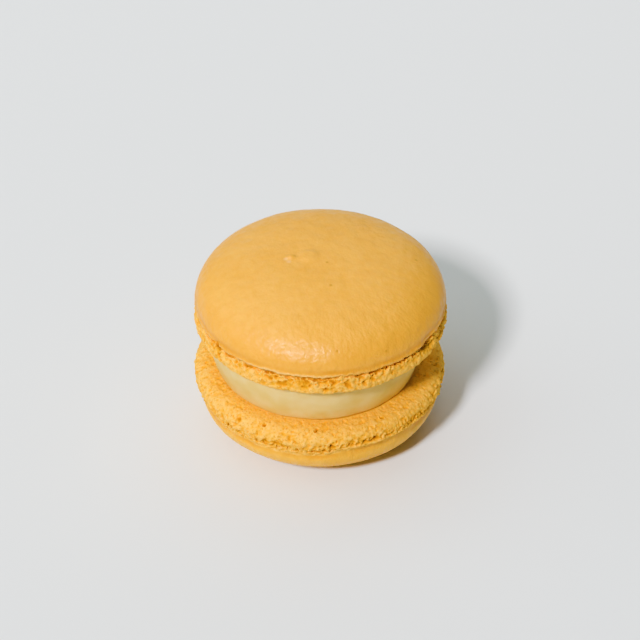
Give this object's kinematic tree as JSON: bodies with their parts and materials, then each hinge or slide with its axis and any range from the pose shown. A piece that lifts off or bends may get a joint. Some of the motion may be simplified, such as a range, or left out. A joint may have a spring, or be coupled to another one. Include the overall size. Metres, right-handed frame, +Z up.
{
  "type": "passion fruit macaron",
  "caption": "Round sandwich biscuit: smooth domed meringue shells with ruffled feet, joined by a thick layer of pale cream. It rests on a small flat spot.",
  "frame": {"origin": "middle of the flat spot that the lower shell rests on, at the lowest point of the macaron", "axes": "+Z up through the middle of the shells, -Y towards the viewer of the picture, +X to the viewer's right"},
  "size_m": [0.0482, 0.0483, 0.0375],
  "materials": {
    "upper_crust": "satin baked meringue crust",
    "cream": "satin whipped passion fruit cream",
    "lower_crust": "satin baked meringue crust"
  },
  "bodies": {
    "root": {"upper_shell": "upper_crust", "filling": "cream", "lower_shell": "lower_crust"}
  },
  "joints": []
}
